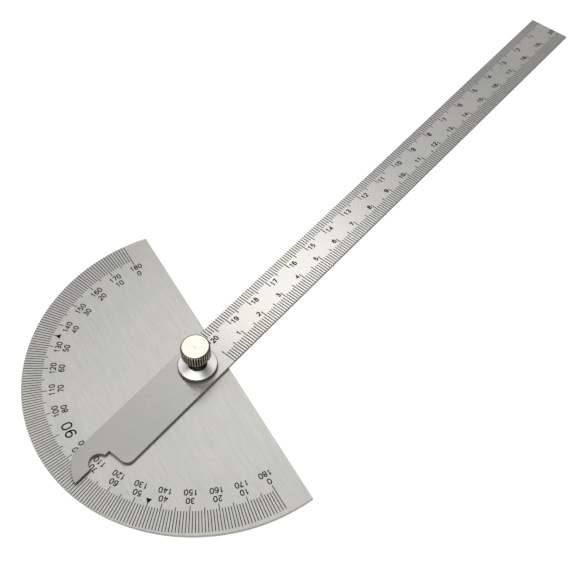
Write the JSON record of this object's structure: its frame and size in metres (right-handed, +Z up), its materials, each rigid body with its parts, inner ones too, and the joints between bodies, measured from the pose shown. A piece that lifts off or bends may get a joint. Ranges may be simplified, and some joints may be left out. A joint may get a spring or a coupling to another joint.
{
  "type": "protractor angle finder",
  "caption": "Steel protractor with a half-round degree dial and a turning ruler arm, clamped at the pivot by a knurled thumb nut over a washer.",
  "frame": {"origin": "the pivot axis at the flat underside of the stud's head, the lowest face of the tool", "axes": "+Z up along the pivot, out of the scale faces; +X along the ruler arm at rest, from the pivot to the blade's square end; the dial plate is turned under the arm so that the pointer reads 70 degrees"},
  "size_m": [0.2664, 0.115, 0.0146],
  "materials": {
    "dial_plate": "fine brushed, scale etched black",
    "ruler_arm": "fine brushed lengthwise, scale etched black",
    "pivot_stud": "plain turned",
    "clamp_washer": "turned and polished",
    "thumb_nut": "plated, warm tint, straight knurl"
  },
  "bodies": {
    "dial": {"dial_plate": "dial_plate", "pivot_stud": "pivot_stud"},
    "arm": {"ruler_arm": "ruler_arm"},
    "washer": {"clamp_washer": "clamp_washer"},
    "nut": {"thumb_nut": "thumb_nut"}
  },
  "joints": [
    {"name": "arm_turn", "type": "hinge", "parent": "dial", "child": "arm", "pos_m": [0, 0, 0.0024], "axis": [0, 0, 1], "continuous": true},
    {"name": "washer_lift", "type": "slide", "parent": "dial", "child": "washer", "axis": [0, 0, 1], "range_m": [0, 0.0014]},
    {"name": "nut_turn", "type": "hinge", "parent": "washer", "child": "nut", "pos_m": [0, 0, 0.0048], "axis": [0, 0, 1], "range_deg": [0, 720]}
  ],
  "couplings": [
    {"joint": "nut_turn", "follows": "washer_lift", "rad_per_m": 8976}
  ]
}
